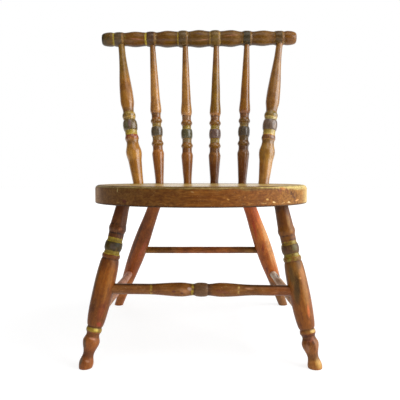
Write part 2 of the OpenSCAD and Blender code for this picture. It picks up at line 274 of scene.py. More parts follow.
def finish_wear():
    """Old gloss paint. Cloudy patches darken the colour or thin it, and a fine speckle mars
    it where it is dull; chips show the bare colour, most on what stands proud; grime settles
    in what lies deep; thin scratches run at a slant. It gives the worn colour, the roughness
    and the height of the surface."""
    tree, given, made = effect(
        "Worn gloss",
        {"Colour": "Color", "Bare": "Color", "Grime": "Color", "Place": "Vector",
         "Proud": "Float", "Blotches": "Float", "Chips": "Float", "Dirt": "Float",
         "Dullness": "Float"},
        {"Colour": "Color", "Roughness": "Float", "Height": "Float"})
    place = given["Place"]
    grain = add(tree, "ShaderNodeGroup", {"Place": place}, node_tree=grain_lines).outputs
    cloud = mottle(tree, place, 0.045, 3.0, 0.55)
    small_cloud = mottle(tree, stretched(tree, place, (1, 1, 2.5)), 0.22, 3.0, 0.6)
    dull = times(tree, ramp(tree, cloud, 0.42, 0.62), given["Blotches"])
    colour = blend(tree, dull, given["Colour"], tint(185, 162, 140), "MULTIPLY")
    light = times(tree, ramp(tree, small_cloud, 0.50, 0.70), given["Blotches"])
    colour = blend(tree, times(tree, light, 0.22), colour, given["Bare"])
    streak = ramp(tree, grain["Streaks"], 0.42, 0.68, 0.0, 0.34)
    colour = blend(tree, streak, colour, tint(165, 140, 118), "MULTIPLY")
    colour = blend(tree, times(tree, grain["Pores"], 0.25), colour, given["Grime"])
    speckle = mottle(tree, stretched(tree, place, (1, 1, 1.8)), 0.42, 4.0, 0.68)
    share = sums(tree, "MULTIPLY", given["Dullness"], 2.2, clamp=True)
    colour = blend(tree, share, colour, ramp(tree, speckle, 0.34, 0.66, 0.82, 1.18), "MULTIPLY")
    cell = mottle(tree, place, 0.55, 3.0, 0.65)
    cluster = ramp(tree, mottle(tree, place, 0.07, 2.0), 0.46, 0.68)
    edge = ramp(tree, given["Proud"], 0.1, 0.9, 0.0, 0.10)
    limit = sums(tree, "SUBTRACT", 0.72, sums(tree, "ADD", edge, times(tree, cluster, 0.07)))
    chip = ramp(tree, sums(tree, "SUBTRACT", cell, limit), 0.0, 0.03)
    chip = times(tree, given["Chips"], chip)
    slant = stretched(tree, place, (0.8, 0.8, 9), (0.5, 0.35, 0.2))
    scratch = ramp(tree, mottle(tree, slant, 0.9, 1.0), 0.735, 0.76)
    chip = sums(tree, "MAXIMUM", chip, times(tree, scratch, given["Chips"]))
    colour = blend(tree, times(tree, chip, 0.8), colour, given["Bare"])
    deep = ramp(tree, given["Proud"], -0.1, -0.8)
    settled = times(tree, deep, ramp(tree, small_cloud, 0.30, 0.55, 0.55, 1.0))
    settled = times(tree, given["Dirt"], settled)
    fly = ramp(tree, mottle(tree, place, 0.75, 2.0, 0.6), 0.70, 0.75, 0.0, 0.7)
    settled = sums(tree, "MAXIMUM", settled, times(tree, fly, given["Dirt"]))
    colour = blend(tree, settled, colour, given["Grime"])
    tree.links.new(colour, made["Colour"])
    rough = sums(tree, "MULTIPLY_ADD", small_cloud, 0.22, given["Dullness"])
    rough = sums(tree, "ADD", rough, times(tree, chip, 0.35))
    rough = sums(tree, "MULTIPLY_ADD", settled, 0.25, rough, clamp=True)
    tree.links.new(rough, made["Roughness"])
    height = times(tree, grain["Pores"], -0.12)
    height = sums(tree, "MULTIPLY_ADD", grain["Streaks"], 0.28, height)
    height = sums(tree, "MULTIPLY_ADD", chip, -0.5, height)
    tree.links.new(height, made["Height"])
    return tree


grain_lines = finish_grain()
worn_gloss = finish_wear()
coat_blur = 0.27
relief_depth = 0.0005
mark_strength = 0.85


def glossed(tree, colour, place, proud, bare, grime, blotches, chips, dirt, gloss, dullness, ior,
            relief):
    """Ends a material: worn gloss over a colour, and a shader whose clear coat weighs gloss."""
    worn = add(tree, "ShaderNodeGroup",
               {"Colour": colour, "Bare": tint(*bare), "Grime": tint(*grime), "Place": place,
                "Proud": proud, "Blotches": blotches, "Chips": chips, "Dirt": dirt,
                "Dullness": dullness}, node_tree=worn_gloss).outputs
    bump = add(tree, "ShaderNodeBump",
               {"Height": worn["Height"], "Strength": relief, "Distance": relief_depth})
    shader = add(tree, "ShaderNodeBsdfPrincipled",
                 {"Base Color": worn["Colour"], "Roughness": worn["Roughness"], "Normal": bump,
                  "IOR": ior, "Coat Weight": gloss, "Coat Roughness": coat_blur})
    add(tree, "ShaderNodeOutputMaterial", {"Surface": shader})


def material_tree(name):
    """A new material and its emptied node tree."""
    made = bpy.data.materials.new(name)
    made.use_nodes = True
    made.node_tree.nodes.clear()
    return made, made.node_tree


def reading(tree, attribute, field="Vector"):
    """A socket with one of the piece's own attributes."""
    return add(tree, "ShaderNodeAttribute", attribute_name=attribute).outputs[field]


def seat_finish():
    """Brown gloss on the edge, lighter towards the right and ochre at the right end as painted
    light, rubbed at the right end, a pale tan painted reflection at the left end, and an ochre
    top that sitters have rubbed to tan, whose pale middle is also a painted reflection."""
    made, tree = material_tree("seat_brown_gloss")
    plank = reading(tree, "plank")
    below = reading(tree, "below", "Fac")
    dented = reading(tree, "dented", "Fac")
    axes = add(tree, "ShaderNodeSeparateXYZ", {0: plank}).outputs
    cloud = mottle(tree, plank, 0.03, 3.0)
    wander = sums(tree, "MULTIPLY_ADD", cloud, 60.0, axes["X"])
    toward_front = ramp(tree, axes["Y"], 40, -30)
    # Painted light: the edge grows lighter to the right and ochre at the right end, where the
    # lamp falls, and the pale tan at the left end is a painted reflection.
    colour = blend(tree, ramp(tree, wander, -110, 60), tint(118, 80, 34), tint(135, 81, 24))
    painted_lit_end = times(tree, ramp(tree, wander, 104, 185), toward_front)
    colour = blend(tree, painted_lit_end, colour, tint(157, 109, 46))
    colour = blend(tree, ramp(tree, wander, -105, -150), colour, tint(208, 168, 128))
    # The top, rubbed through to a pale tan by sitters, and browner round the sticks; its pale middle is
    # also a painted reflection
    on_top = ramp(tree, below, -2.0, -7.0)
    sat_on_and_sheen = add(tree, "ShaderNodeVectorMath", {0: stretched(
        tree, plank, (128, 112, 400), centre=(18, -28, 0))}, operation="LENGTH").outputs["Value"]
    sat_on_and_sheen = ramp(tree, sums(tree, "MULTIPLY_ADD", cloud, 1.3, sat_on_and_sheen), 1.15, 1.95, 1.0, 0.0)
    top_tint = blend(tree, sat_on_and_sheen, tint(172, 138, 60), tint(224, 190, 106))
    patches = mottle(tree, stretched(tree, plank, (3, 1, 1)), 0.10, 4.0, 0.6)
    top_tint = blend(tree, ramp(tree, patches, 0.56, 0.66, 0.0, 0.5), top_tint, tint(226, 198, 138))
    colour = blend(tree, on_top, colour, top_tint)
    uneven = sums(tree, "ADD", below, sums(tree, "MULTIPLY_ADD", cloud, 12.0, -5.0))
    shoulder = ramp(tree, sums(tree, "ABSOLUTE", uneven), 1.5, 5.0, 0.7, 0.0)
    colour = blend(tree, shoulder, colour, tint(112, 90, 40))
    # Lines of the board's grain, which runs from side to side
    lying = stretched(tree, plank, (70, 1, 1))
    streaks = ramp(tree, mottle(tree, lying, 0.34, 5.0, 0.66), 0.44, 0.60)
    colour = blend(tree, times(tree, streaks, ramp(tree, on_top, 0, 1, 0.45, 0.3)),
                   colour, tint(158, 112, 82), "MULTIPLY")
    # The arris, rubbed down to a pale line, which widens near the right end into a painted highlight
    rub = mottle(tree, stretched(tree, plank, (5, 5, 1)), 0.5, 3.0, 0.6)
    width = ramp(tree, axes["X"], 70, 150, 0.5, 6.0)
    off_arris = sums(tree, "DIVIDE", sums(tree, "ABSOLUTE", below), width)
    pale = ramp(tree, sums(tree, "MULTIPLY_ADD", rub, 1.6, off_arris), 0.9, 1.8, 1.0, 0.0)
    colour = blend(tree, times(tree, pale, 0.8), colour, tint(226, 206, 132))
    end_worn = ramp(tree, sums(tree, "MULTIPLY_ADD", rub, 12.0, axes["X"]), 154, 169, 0.0, 0.8)
    end_worn = times(tree, end_worn, toward_front)
    colour = blend(tree, end_worn, colour, tint(222, 192, 124))
    # The lower arris: a worn line over a dark one
    low = seat_t - seat_low_r
    line = ramp(tree, sums(tree, "ABSOLUTE", sums(tree, "SUBTRACT", below, low - 4.5)),
                0.4, 1.4, 1.0, 0.0)
    line = times(tree, line, ramp(tree, rub, 0.53, 0.66))
    line = times(tree, line, ramp(tree, axes["X"], 0, 150, 0.3, 0.8))
    colour = blend(tree, line, colour, tint(206, 164, 96))
    # Darker from just above the lower rounding across the whole underside
    dark_low_band = ramp(tree, below, low - 3.0, low - 0.5)
    colour = blend(tree, times(tree, dark_low_band, 0.8), colour, tint(46, 30, 20))
    # Scuffs and chips on the front edge, as bearing in degrees, height, half length along,
    # half height, turn and colour
    marks = [
        (42.5, -3.4, 6.4, 2, 0.1, (196, 128, 66)), (40.5, -6.2, 2.2, 4.6, 0.4, (126, 70, 36)),
        (45.5, -6.6, 2, 4.4, -0.5, (118, 64, 32)), (50, -12, 2.1, 7.6, -0.8, (104, 62, 28)),
        (50.8, -12.5, 1.9, 7, 0.7, (108, 66, 30)), (52, -17, 4, 1.2, 0.3, (96, 60, 30)),
        (55, -21, 5.8, 1.1, -0.1, (232, 170, 104)), (32, -18, 2, 1.4, 0, (222, 176, 98)),
        (12, -17, 1.8, 1, 0.4, (190, 136, 66)), (20, -14, 1.4, 1, 0, (180, 116, 50)),
        (-44, -6, 0.8, 2.8, 0, (205, 184, 124)), (-66, -7, 3.4, 1.1, -0.6, (186, 160, 128)),
        (-4, -7, 2.4, 0.9, 0.25, (170, 128, 76)), (62, -14, 1.2, 6.5, 0.1, (206, 150, 84)),
        (39, -6, 0.9, 3.6, -0.5, (110, 58, 30)), (-39, -21, 3.8, 2.6, 0.3, (96, 46, 32)),
        (36, -22, 2.4, 1, 0.2, (230, 196, 132)), (47, -23, 3, 1, 0.1, (236, 206, 148))]
    for bearing, height, along, up, turn, shade in marks:
        angle = math.radians(bearing)
        centre = (seat_r * math.sin(angle), -seat_r * math.cos(angle), height)
        patch = spot(tree, plank, centre, (along, 6.0, up), (0, turn, angle), 0.35, 0.6)
        colour = blend(tree, times(tree, patch, mark_strength), colour, tint(*shade))
    worn_dent = ramp(tree, dented, 0.25, 0.7, 0.0, 0.6)
    colour = blend(tree, worn_dent, colour, tint(92, 60, 34))
    proud = ramp(tree, sums(tree, "ABSOLUTE", below), 4.0, 0.0, 0.0, 0.9)
    # The middle of the top is the smoothest
    off_middle = sums(tree, "ABSOLUTE", sums(tree, "ADD", axes["X"], -10.0))
    top_dullness = ramp(tree, off_middle, 50, 140, 0.12, 0.38)
    # Turned so that the board's length is the place's Z
    lengthways = stretched(tree, plank, (1, 1, 1), (0, math.pi / 2, 0))
    glossed(tree, colour, lengthways, proud, (205, 165, 110), (50, 34, 22), blotches=0.25,
            chips=0.5, dirt=0.4, gloss=0.0,
            dullness=ramp(tree, below, -6.5, -3.0, top_dullness, 0.46), ior=1.25, relief=0.32)
    return made


stands_for(plank_surface(), "seat", seat_finish())


# ---- Front legs ------------------------------------------------------------------------
# Each is turned from one stick: ball foot, ankle vase and ring, long swell, rings and a dark
# bead under the seat, and a round tenon glued into it. The bead and bands are painted over.

STRAIGHT, EASE, RISE, FALL = range(4)

front_leg_inset = 27.4
front_leg_angle = math.radians(56)
front_splay_out = 47.5
front_splay_fwd = 41.5
left_front_slip = 2.2
left_front_extra = 5.2
front_top_d = 20.0
front_swell_d = 29.8
front_bead_d = 25.8
ankle_d = 24.2
foot_ball_d = 20.6
foot_wear = 4.0
leg_socket = 17.0
collar = 6.0

# How far each turning is out of true: oval and three-lobed as a share of the radius, and
# wavy along its length in millimetres
oval_share, lobe_share, chatter = 0.012, 0.006, 0.10
foot_rim = 1.3


def outline(stations, step=0.25, softening=0.55, neighbourhood=6.0):
    """Radius along a turning, from stations [distance, diameter, how it runs on]. The share
    of the way across between two stations is f, (1 - cos pi f)/2, sqrt(1 - (1 - f)^2) or
    1 - sqrt(1 - f^2), where f is the share of the way along. Paint softens the corners, as
    a moving bell-shaped mean. It also gives how proud each place is of its neighbourhood."""
    at, width, kind = np.array(stations, float).T
    s = np.arange(at[0], at[-1] + step, step)
    k = np.clip(np.searchsorted(at, s, side="right") - 1, 0, at.size - 2)
    f = np.clip((s - at[k]) / (at[k + 1] - at[k]), 0, 1)
    share = np.select(
        [kind[k] == EASE, kind[k] == RISE, kind[k] == FALL],
        [(1 - np.cos(np.pi * f)) / 2, np.sqrt(1 - (1 - f) ** 2), 1 - np.sqrt(1 - f ** 2)], f)
    radius = (width[k] + (width[k + 1] - width[k]) * share) / 2

    def mean(values, reach):
        """The mean of each value's neighbours, weighed by a bell this wide."""
        offsets = np.arange(-3 * reach, 3 * reach + step, step)
        bell = np.exp(-(offsets / reach) ** 2 / 2)
        padded = np.pad(values, offsets.size // 2, mode="edge")
        return np.convolve(padded, bell / bell.sum(), mode="valid")[:values.size]

    soft = mean(radius, softening)
    return s, soft, soft - mean(radius, neighbourhood)


def turned(name, start, end, stations, seed, back=(0, 1, 0), bow=0.0, rows=250,
           columns=64, stands=False):
    """A turning between two points, P(s, a) = start + s axis + r(s, a) (cos a right + sin a
    back), plus a bow to the right that is a half sine between its ends. r is the radius of
    the outline, a little oval and lobed by cos 2(a - lean) and sin(3 a + turn). Rings are
    closer where it changes quickly. On a leg that stands, what comes near or below the floor
    is moved up along the leg, z' = h exp(z/h - 1), which leaves a flat foot with a rounded
    rim."""
    chance = np.random.default_rng(seed)
    length = np.linalg.norm(end - start)
    axis = (end - start) / length
    back = np.array(back, float) - np.dot(back, axis) * axis
    back /= np.linalg.norm(back)
    right = np.cross(back, axis)
    fine_s, fine_r, fine_proud = outline(stations)
    slope = np.abs(np.gradient(fine_r, fine_s))
    need = np.cumsum(0.22 + np.minimum(slope, 1.5) + 2.0 * np.abs(np.gradient(slope, fine_s)))
    s = np.interp(np.linspace(need[0], need[-1], rows), need, fine_s)[:, None]
    r = np.interp(s, fine_s, fine_r)
    proud = np.interp(s, fine_s, fine_proud)
    a = np.linspace(0, 2 * math.pi, columns, endpoint=False)[None, :]
    lean, turn, wave = chance.uniform(0, 2 * math.pi, 3)
    oval = (1 + oval_share * np.cos(2 * (a - lean))
            + lobe_share * np.sin(3 * a + turn + s / 40))
    r = r * oval + chatter * np.sin(s / 9 + wave) * np.cos(a + s / 31)
    bend = np.sin(np.pi * np.clip(s / length, 0, 1))[..., None]
    points = (start + s[..., None] * axis
              + (r * np.cos(a))[..., None] * right + (r * np.sin(a))[..., None] * back
              + bend * bow * right)
    poles = start + np.array([s[0], s[-1]]) * axis
    if stands:
        for part in (points, poles):
            z = part[..., 2:]
            low = foot_rim * np.exp(np.minimum(z / foot_rim, 1) - 1)
            lifted = np.where(z > foot_rim, z, low)
            part += axis * (lifted - z) / axis[2]
    lathe = np.stack(np.broadcast_arrays(r * np.cos(a), r * np.sin(a), s), -1).reshape(-1, 3)
    ends = [[0, 0, s[0, 0]], [0, 0, s[-1, 0]]]
    proud = np.append(np.broadcast_to(proud, r.shape).ravel(), [0, 0])
    return closed_mesh(name, points + shift, poles + shift,
                       lathe=np.vstack([lathe, ends]), proud=proud)


def brushed_band():
    """A band of paint round a turning between two distances along it, put on by hand. Its
    edges wander and blur, and the rest of it has rubbed away in patches. Some bands are laid
    the same way as painted shade or a painted highlight."""
    tree, given, made = effect(
        "Brushed band",
        {"Colour": "Color", "Paint": "Color", "Place": "Vector", "Along": "Float",
         "From": "Float", "To": "Float", "Left": "Float"}, {"Colour": "Color"})
    place = given["Place"]
    wander = sums(tree, "MULTIPLY_ADD", mottle(tree, place, 0.16, 2.0), 2.2, -1.1)
    along = sums(tree, "ADD", given["Along"], wander)
    rise = ramp(tree, sums(tree, "SUBTRACT", along, given["From"]), -0.5, 0.5)
    fall = ramp(tree, sums(tree, "SUBTRACT", along, given["To"]), -0.5, 0.5, 1.0, 0.0)
    rubbed = sums(tree, "ADD", mottle(tree, place, 0.24, 3.0, 0.5), given["Left"])
    left = ramp(tree, rubbed, 0.74, 1.06, 0.0, 1.0)
    shade = blend(tree, mottle(tree, place, 0.2, 2.0), given["Paint"],
                  tint(150, 120, 88), "MULTIPLY")
    shade = blend(tree, 0.55, shade, given["Paint"])
    mask = times(tree, times(tree, rise, fall), left)
    tree.links.new(blend(tree, mask, given["Colour"], shade), made["Colour"])
    return tree


band_paint = brushed_band()

yellow = (218, 188, 58)
leg_yellow = (190, 164, 46)
gold = (214, 178, 84)
olive = (158, 144, 48)
dark_olive = (76, 61, 12)
bead_brown = (106, 78, 40)
# Dark lines in the grooves about the bulge under the seat are painted shade.
painted_groove_shade = (62, 34, 14)
bare_wood = (214, 172, 122)
rubbed_ochre = (206, 148, 80)
grime_brown = (44, 28, 20)

pattern_steps = (41.3, 17.9, 263.0)
wandering = 14.0
mark_depth = 5.0


def turned_finish(name, seed, body, bands, marks=(), origin=0.0, far_end=None, blotches=0.5,
                  chips=0.5, dirt=0.6, gloss=0.08, dullness=0.36, ior=1.36, relief=0.45,
                  bare=bare_wood):
    """Old gloss on a turning. body is a colour and then (from, to, colour) for each gradual
    change along it; bands are (from, to, paint, share left); marks are (degrees round from
    the front to the right, distance along, radius there, half width, half length, slant,
    colour). Distances are measured from origin, and those below zero from far_end if it is
    given. The seed shifts the pattern, so that no two sticks are alike."""
    def along_it(distance):
        """The distance from the start of the stick."""
        return distance + (far_end if far_end and distance < 0 else origin)

    made, tree = material_tree(name)
    lathe = reading(tree, "lathe")
    along = add(tree, "ShaderNodeSeparateXYZ", {0: lathe}).outputs["Z"]
    place = add(tree, "ShaderNodeVectorMath",
                {0: lathe, 1: tuple(seed * step for step in pattern_steps)},
                operation="ADD").outputs[0]
    loose = sums(tree, "MULTIPLY_ADD", mottle(tree, place, 0.08), wandering,
                 sums(tree, "ADD", along, -wandering / 2))
    colour = tint(*body[0])
    for start, end, shade in body[1:]:
        change = ramp(tree, loose, along_it(start), along_it(end))
        colour = blend(tree, change, colour, tint(*shade))
    for start, end, paint, left in bands:
        colour = add(tree, "ShaderNodeGroup",
                     {"Colour": colour, "Paint": tint(*paint), "Place": place, "Along": along,
                      "From": along_it(start), "To": along_it(end), "Left": left},
                     node_tree=band_paint).outputs["Colour"]
    # Marks are stains and scuffs, and some of them painted highlights, painted light or painted shade.
    for degrees, distance, r, half_width, half_length, slant, shade in marks:
        angle = math.radians(degrees)
        centre = (r * math.sin(angle), -r * math.cos(angle), along_it(distance))
        size = (half_width, mark_depth, half_length)
        patch = spot(tree, lathe, centre, size, (0, slant, angle))
        colour = blend(tree, times(tree, patch, mark_strength), colour, tint(*shade))
    glossed(tree, colour, place, reading(tree, "proud", "Fac"), bare, grime_brown,
            blotches, chips, dirt, gloss, dullness, ior, relief)
    return made


def left_only(side, value):
    """What sets the left legs apart, and nothing on the right."""
    return value if side == LEFT else 0.0


def apart(start, end):
    """The distance between two points."""
    return float(np.linalg.norm(end - start))


def front_top(side):
    """Where the middle of a front leg meets the underside of the seat."""
    reach = seat_r - front_leg_inset
    return on_seat(side * reach * math.sin(front_leg_angle) + left_only(side, left_front_slip),
                   -reach * math.cos(front_leg_angle), seat_t)


def front_foot(side):
    """Where the middle of a front leg would meet the floor, splayed outwards and forwards."""
    top = front_top(side)
    return np.array([top[0] + side * front_splay_out - left_only(side, left_front_extra),
                     top[1] - front_splay_fwd, 0.0])


def front_leg_stations(length, worn):
    """Lower turnings are set out from the floor and lose what the foot has worn away, and
    the upper ones are set out from the seat."""
    lower = [(-10, 14.6, EASE), (7.5, foot_ball_d, EASE), (20.5, 15.4, EASE),
             (39.8, ankle_d, EASE), (49.5, 18.6, STRAIGHT), (52.6, 19.4, RISE),
             (56.4, 22.6, FALL), (60.2, 20, STRAIGHT), (62, 21, RISE),
             (length / 2 - 2, front_swell_d, FALL)]
    upper = [(82.6, 24.4, STRAIGHT), (81.4, 23.8, RISE), (77.6, 26.4, FALL), (74.2, 22.6, EASE),
             (70, 22, RISE), (63, front_bead_d, FALL), (55.4, 21.8, EASE), (48.6, 22.4, EASE),
             (44, 22.4, EASE), (36.8, 25.4, EASE), (27.6, 22.8, STRAIGHT)]
    tenon = [(length - collar, front_top_d, STRAIGHT),
             (length + leg_socket, front_top_d, STRAIGHT)]
    return ([(s - worn, d, kind) for s, d, kind in lower]
            + [(length - s - worn, d, kind) for s, d, kind in upper] + tenon)


for side, name, worn, seed in ((LEFT, "left", 0.0, 3), (RIGHT, "right", foot_wear, 4)):
    foot, top = front_foot(side), front_top(side)
    length = apart(foot, top)
    if side == LEFT:
        body = [
            (152, 86, 32), (46, 66, (122, 66, 12)), (96, 130, (140, 76, 8)), (-100, -84, (116, 62, 12)),
            (-60, -48, (100, 54, 16)), (-36, -24, (110, 60, 22))]
        bands = [
            (54.2, 60.2, (168, 140, 46), 0.54), (-57.6, -50.4, leg_yellow, 0.66),
            (-75.8, -69.4, leg_yellow, 0.62), (-69.8, -56.8, dark_olive, 0.95),
            (-45, -42.4, painted_groove_shade, 0.50), (-31.6, -29.6, painted_groove_shade, 0.36)]
        # Painted highlights: the marks at 24° by 58 and 28° by -37. The ochre one at 30° by 128 is
        # painted light on the lit side, and the dark one at -56° by 130 is painted shade.
        marks = [
            (34, 67, 11, 3.6, 3, 0.3, (168, 66, 42)), (26, 88, 13, 4.6, 15, 0.1, (138, 66, 22)),
            (24, 58, 11, 3.6, 2.4, 0.2, (222, 198, 90)), (6, -63, 12, 5, 4, 0, (92, 78, 68)),
            (30, -60, 12, 4, 3, 0.2, (62, 56, 26)), (-28, 92, 13, 4, 10, 0.1, (104, 60, 22)),
            (30, 128, 14, 3.8, 28, 0.05, (158, 96, 22)), (-56, 130, 14, 3.6, 30, 0.05, (108, 68, 22)),
            (28, -37, 12, 3, 3, 0, (140, 78, 36)), (8, 45, 11, 4.6, 1.6, 0.1, (196, 132, 96)),
            (12, 12, 10, 3, 1.6, 0.2, (196, 140, 104)), (-50, 10, 10, 3, 6, 0, (112, 96, 78)),
            (-44, 36, 11, 3, 8, 0, (96, 72, 44))]
    else:
        # The last change, dark brown just under the seat, is a painted shadow.
        body = [
            (176, 114, 48), (16, 26, (142, 84, 28)), (46, 66, (140, 78, 14)), (104, 134, (138, 84, 16)),
            (-108, -92, (128, 80, 20)), (-60, -48, (130, 78, 20)), (-36, -24, (112, 62, 14)),
            (-8, -2, (84, 44, 16))]
        bands = [
            (51.6, 56.8, (146, 104, 46), 0.34), (46.6, 51.2, (112, 56, 18), 0.62),
            (-57.4, -51.6, leg_yellow, 0.46), (-75.4, -69.4, leg_yellow, 0.54),
            (-81, -75.8, olive, 0.36), (-69.8, -56.8, bead_brown, 0.92),
            (-45, -42.4, painted_groove_shade, 0.38), (-50.8, -49, painted_groove_shade, 0.38)]
        # 110, 34° by 140 and 34° by 8 are painted light on the lit side.
        # Painted highlights: the marks at 24° by 84, 36° by 54, 26° by -22, 28° by -38, 34° by -54
        # and 36° by -72.4, and the pale streaks at -34° by 32 and 40° by 33. The ochre ones at 30° by
        marks = [
            (-24, 110, 14, 4.6, 15, 0.15, (92, 64, 20)), (-10, 124, 14, 3.6, 17, 0.1, (76, 54, 18)),
            (-30, 138, 14, 4, 14, 0, (100, 72, 26)), (30, 110, 14, 4.6, 24, 0.1, (182, 124, 48)),
            (16, 132, 14, 1.5, 1.7, 0, (246, 186, 100)), (34, 140, 14, 4.6, 16, 0.1, (176, 112, 46)),
            (24, 152, 14, 5, 10, 0.4, (120, 80, 30)), (0, 43, 11, 7.4, 3.6, 0, (162, 94, 64)),
            (-34, 32, 11, 2.6, 8, 0.2, (164, 112, 80)), (40, 33, 11, 2.4, 8, -0.2, (180, 126, 84)),
            (-18, 38, 11, 2, 2.6, 0.3, (104, 58, 26)), (16, 38, 11, 1.8, 2.6, -0.2, (112, 66, 28)),
            (24, 84, 13, 2.2, 9, 0.1, (222, 118, 54)), (36, 54, 11, 4.6, 2.4, 0, (222, 184, 104)),
            (34, 8, 10, 5, 8, 0, (214, 168, 84)), (26, -22, 12, 2.6, 11, 0.05, (152, 106, 42)),
            (28, -38, 12, 3, 2.6, 0, (168, 116, 54)), (34, -54, 12, 4, 2, 0, (222, 204, 104)),
            (36, -72.4, 12, 4, 2, 0, (226, 214, 122)), (26, -62, 12, 4, 4.6, 0, (116, 108, 62)),
            (-26, -64, 12, 3.4, 4, 0.2, (104, 66, 34))]
    leg = turned("turned_front_leg_" + name, foot, top, front_leg_stations(length, worn), seed,
                 stands=True, rows=300)
    stands_for(leg, "front_leg_" + name,
               turned_finish("front_leg_gloss_" + name, seed, body, bands, marks,
                             far_end=length - worn, chips=0.35, dirt=0.48, ior=1.34, bare=rubbed_ochre))


# ---- Rear legs -------------------------------------------------------------------------
# Plainer sticks with one long swell, splayed hard backwards and outwards, with round tenons.
# Their paint is redder than the rest, and the right one is brighter.

left_rear_slip = 3.6
rear_splay_out = 82.5
rear_top_d = 23.0
rear_swell_d = 30.4


def rear_top(side):
    """Where the middle of a rear leg meets the underside of the seat."""
    reach = seat_r - rear_leg_inset
    return on_seat(side * reach * math.sin(rear_leg_angle) + left_only(side, left_rear_slip),
                   reach * math.cos(rear_leg_angle), seat_t)


def rear_foot(side):
    """Where the middle of a rear leg meets the floor, splayed outwards and backwards."""
    top = rear_top(side)
    return np.array([top[0] + side * rear_splay_out - left_only(side, left_rear_slip),
                     top[1] + rear_splay_back, 0.0])


for side, name, seed in ((LEFT, "left", 5), (RIGHT, "right", 6)):
    foot, top = rear_foot(side), rear_top(side)
    length = apart(foot, top)
    stations = [(-12, rear_foot_d, EASE), (0.56 * length, rear_swell_d, EASE),
                (length - 2 * collar, rear_top_d, STRAIGHT),
                (length + leg_socket, rear_top_d, STRAIGHT)]
    if side == LEFT:
        body = [
            (180, 108, 46), (60, 90, (156, 80, 26)), (110, 190, (140, 76, 26)),
            (-60, -20, (160, 88, 32))]
        marks = [
            (-10, 84, 13, 5, 2.4, 0.5, (60, 32, 24)), (30, 150, 15, 3, 22, 0.1, (168, 84, 52)),
            (-42, 160, 15, 3.4, 54, 0, (104, 60, 30)), (16, 206, 14, 3.2, 14, 0.1, (168, 96, 34))]
    else:
        body = [
            (132, 86, 44), (60, 90, (174, 92, 30)), (120, 200, (184, 104, 34)),
            (-70, -30, (194, 94, 36))]
        # The pale marks at 34° and 58° by 150 are painted highlights on the lit right edge.
        marks = [
            (-20, 84, 13, 4, 3, 0.6, (58, 34, 24)), (-40, 96, 14, 2.4, 9, 0.2, (122, 58, 34)),
            (34, 150, 15, 3.4, 44, 0.05, (200, 138, 78)), (58, 150, 15, 4.2, 62, 0, (206, 150, 92)),
            (-22, 196, 15, 3, 24, 0.1, (184, 70, 26)), (-6, 150, 15, 2.4, 12, 0.3, (142, 62, 26))]
    leg = turned("turned_rear_leg_" + name, foot, top, stations, seed, stands=True, rows=180)
    stands_for(leg, "rear_leg_" + name,
               turned_finish("rear_leg_gloss_" + name, seed, body, [], marks, far_end=length,
                             gloss=0.05, dullness=0.40, ior=1.34, bare=rubbed_ochre))


# ---- Front stretcher -------------------------------------------------------------------
# One turned bar between the front legs, with a dark bead between two long swells. Its ends
# are glued into the legs. Thin yellow bands are half worn away.

front_bar_h = 110.8
front_bar_drop = 3.0
front_bar_end_d = 15.6
front_bar_swell_d = 20.6
front_bar_bead_d = 20.8
front_bar_groove_d = 17.0
# Bars and sticks run on to this far from the middle of what they enter
core = 3.0


def at_height(foot, top, height):
    """The point of a leg's middle line at a height above the floor."""
    return foot + (top - foot) * height / top[2]


def on_front_leg(side, height):
    return at_height(front_foot(side), front_top(side), height)


def on_rear_leg(side, height):
    return at_height(rear_foot(side), rear_top(side), height)


def both_ways(length, middle, half):
    """Stations of a bar that is the same both ways from its middle: the middle one, and the
    others of its right half. Seen from the other end, each run belongs to the station at its
    far side."""
    flipped = {STRAIGHT: STRAIGHT, EASE: EASE, RISE: FALL, FALL: RISE}
    kinds = [middle[2]] + [kind for _, _, kind in half]
    other = [(-at, width, flipped[kind]) for kind, (at, width, _) in zip(kinds, half)]
    return [(at + length / 2, width, kind) for at, width, kind in other[::-1] + [middle] + half]


start = on_front_leg(LEFT, front_bar_h + front_bar_drop / 2)
end = on_front_leg(RIGHT, front_bar_h - front_bar_drop / 2)
length = apart(start, end)
half = [(9.5, front_bar_groove_d, EASE), (29, front_bar_swell_d, EASE),
        (80, front_bar_end_d, STRAIGHT), (length / 2 - core, front_bar_end_d, STRAIGHT)]
stations = both_ways(length, (0, front_bar_bead_d, FALL), half)
# Measured from the middle
body = [(136, 84, 32), (-90, -50, (132, 80, 24)), (20, 60, (130, 80, 24)), (80, 110, (138, 76, 24))]
bands = [
    (-74.6, -71.4, (196, 164, 64), 0.42), (-14.6, -11, yellow, 0.46),
    (52.4, 55.6, (206, 170, 96), 0.36), (30, 37, olive, 0.22), (-9.6, 9.6, (130, 96, 60), 0.70)]
# The pale pink mark at -20° by -17 is a painted highlight.
marks = [
    (-72, -104, 8, 2.4, 44, 0, (66, 38, 16)), (-72, 100, 8, 2.4, 44, 0, (66, 38, 16)),
    (4, -40, 9, 2, 2.6, 0.3, (92, 44, 28)), (16, -28, 9, 1.8, 2.2, 0, (84, 40, 28)),
    (-20, -17, 9, 2.4, 3, 0.2, (196, 160, 140)), (0, -24, 9, 3, 7, 0.2, (178, 122, 78)),
    (-30, 70, 8, 1.4, 6, 0.1, (196, 140, 96)), (0, 30, 9, 3, 10, 0.15, (120, 66, 34))]
bar = turned("turned_front_stretcher", start, end, stations, 7)
stands_for(bar, "front_stretcher",
           turned_finish("front_stretcher_gloss", 7, body, bands, marks, origin=length / 2,
                         chips=0.7))


# ---- Rear stretcher --------------------------------------------------------------------
# A plain round bar between the rear legs, reddish like them. It has no turnings, and its
# ends are glued into the legs.

rear_bar_h = 121.0
rear_bar_d = 12.8

